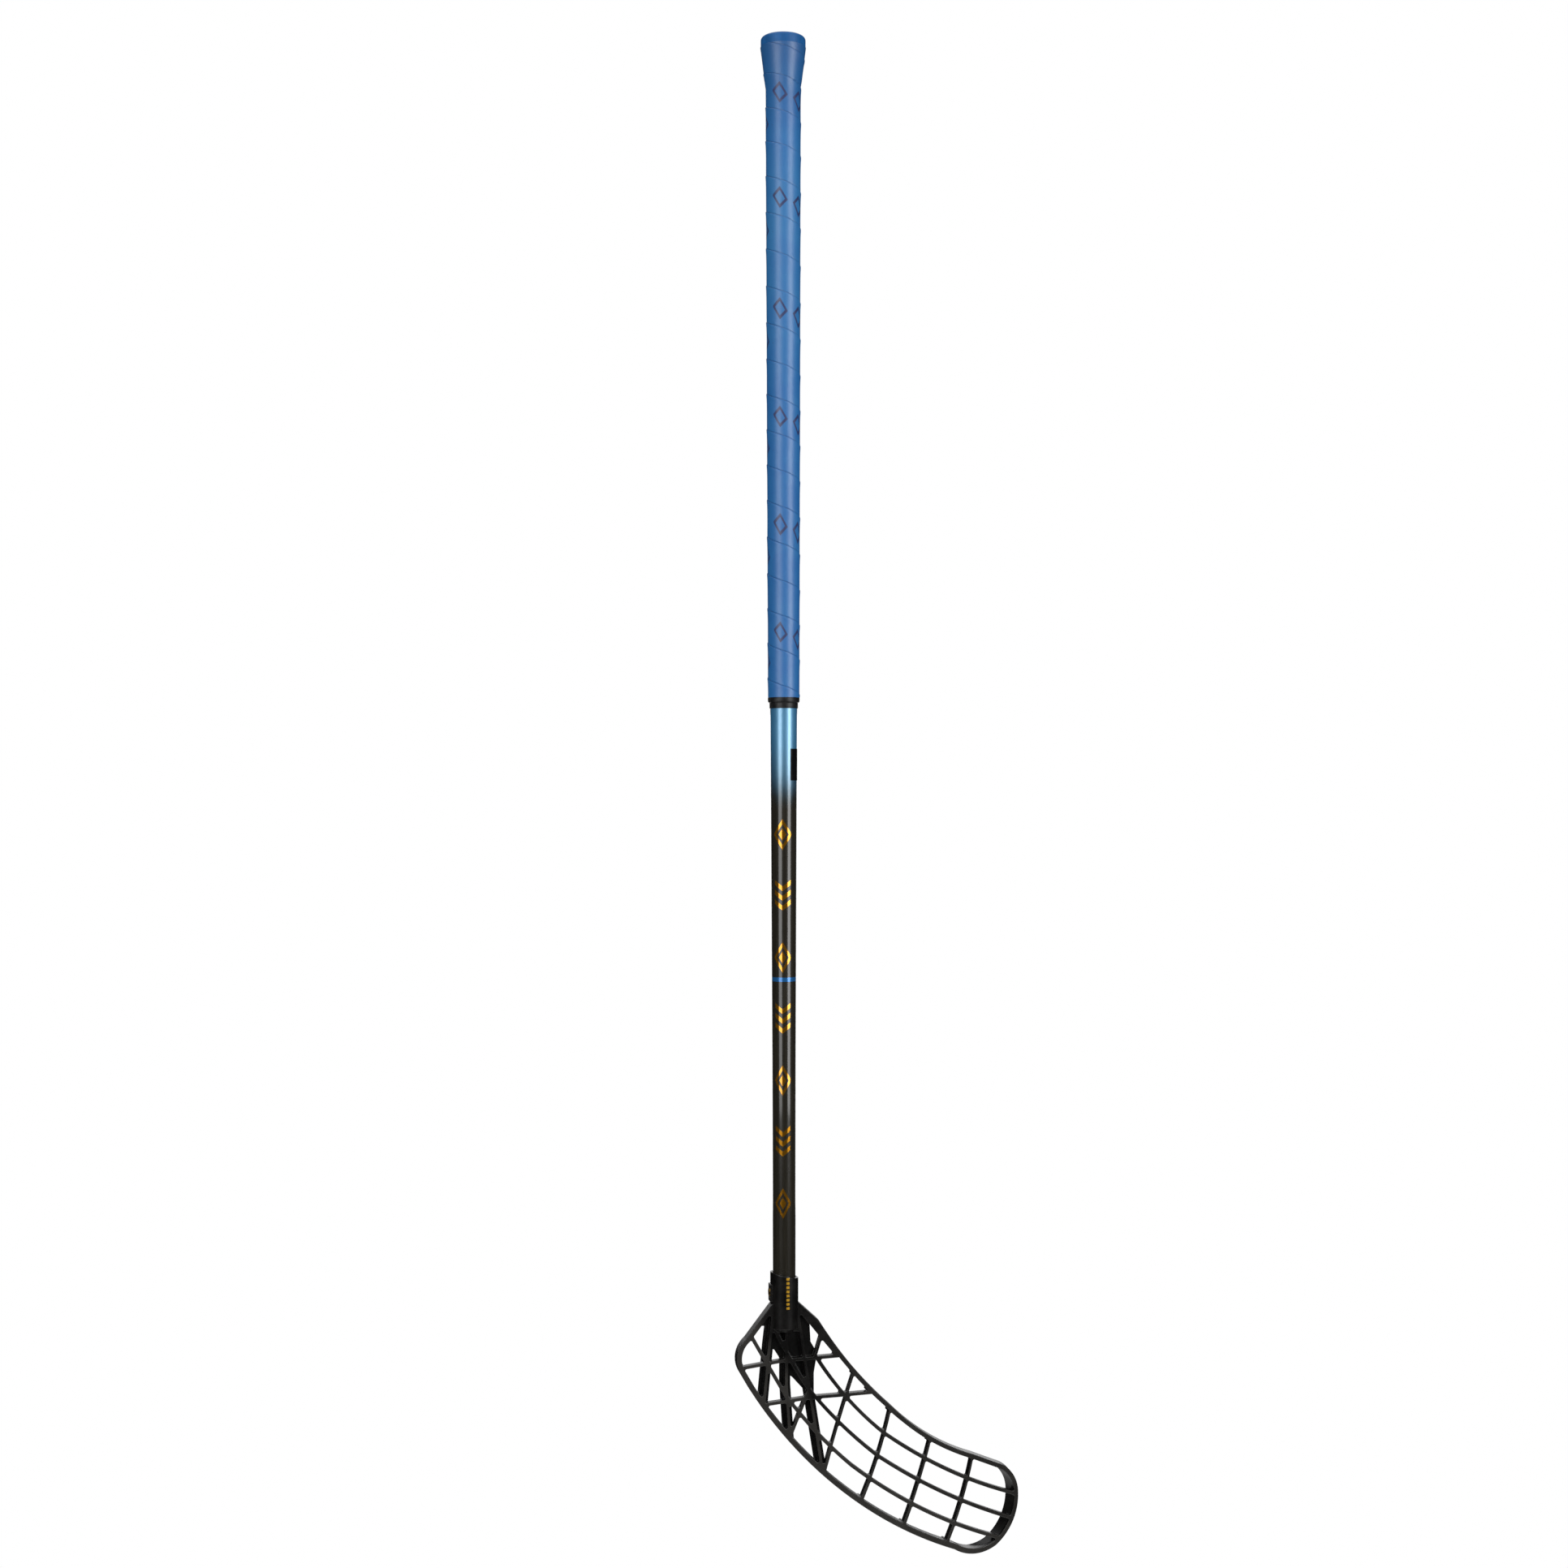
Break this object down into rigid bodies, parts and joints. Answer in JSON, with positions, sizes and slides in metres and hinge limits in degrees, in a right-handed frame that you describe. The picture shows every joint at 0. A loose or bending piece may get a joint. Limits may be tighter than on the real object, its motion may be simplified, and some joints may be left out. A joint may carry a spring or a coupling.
{
  "type": "floorball stick",
  "caption": "Floorball stick: tapered carbon shaft with a wound grip and flared butt cap, and a hooked open-ribbed blade glued and screwed on.",
  "frame": {"origin": "centre of the butt face, on the shaft's axis", "axes": "+Z along the shaft out of the butt, +X from the shaft towards the blade's toe, +Y towards the side the blade hooks to"},
  "size_m": [0.2322, 0.0449, 1.1899],
  "materials": {
    "lacquered_carbon": "gloss lacquer, metallic blue above and black below",
    "cap_plastic": "matt",
    "grip_foam": "soft matt",
    "ring_rubber": "satin",
    "label_film": "gloss film",
    "blade_plastic": "fine satin",
    "screw_brass": "bright",
    "hot_melt": "waxy"
  },
  "bodies": {
    "root": {"shaft_tube": "lacquered_carbon", "butt_cap": "cap_plastic", "grip_tape": "grip_foam", "grip_ring": "ring_rubber", "shaft_label": "label_film", "blade": "blade_plastic", "blade_screw": "screw_brass", "hosel_adhesive": "hot_melt"}
  },
  "joints": []
}
